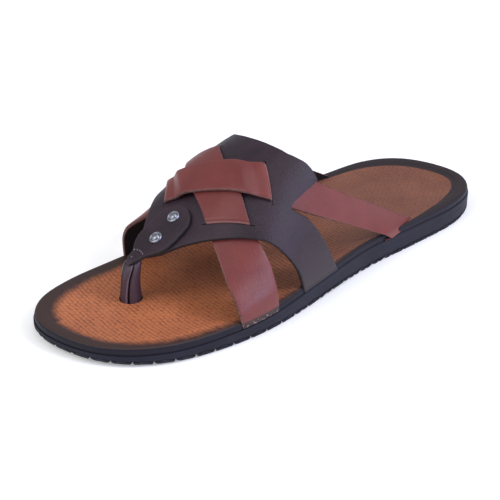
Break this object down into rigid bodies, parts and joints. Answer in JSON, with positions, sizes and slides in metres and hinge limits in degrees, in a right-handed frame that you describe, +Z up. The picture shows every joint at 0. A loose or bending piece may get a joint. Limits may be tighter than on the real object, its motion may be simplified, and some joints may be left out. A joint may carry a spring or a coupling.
{
  "type": "slipper",
  "caption": "Left thong sandal with a saddle vamp, two woven crossing straps, a riveted leaf tab over a toe post, a dished footbed and a lugged rubber outsole.",
  "frame": {"origin": "middle of the footprint, on the ground", "axes": "+Z up, -Y towards the toe, +X towards the outer side of the left foot"},
  "size_m": [0.0978, 0.2854, 0.0745],
  "materials": {
    "outsole_rubber": "matte",
    "footbed_leather": "satin",
    "dark_leather": "satin",
    "red_leather": "satin",
    "rivet_nickel": "polished"
  },
  "bodies": {
    "root": {"outsole": "outsole_rubber", "footbed": "footbed_leather", "vamp": "dark_leather", "strap_under": "red_leather", "strap_over": "red_leather", "tab": "dark_leather", "toe_post": "dark_leather", "rivet_front": "rivet_nickel", "rivet_rear": "rivet_nickel"}
  },
  "joints": []
}
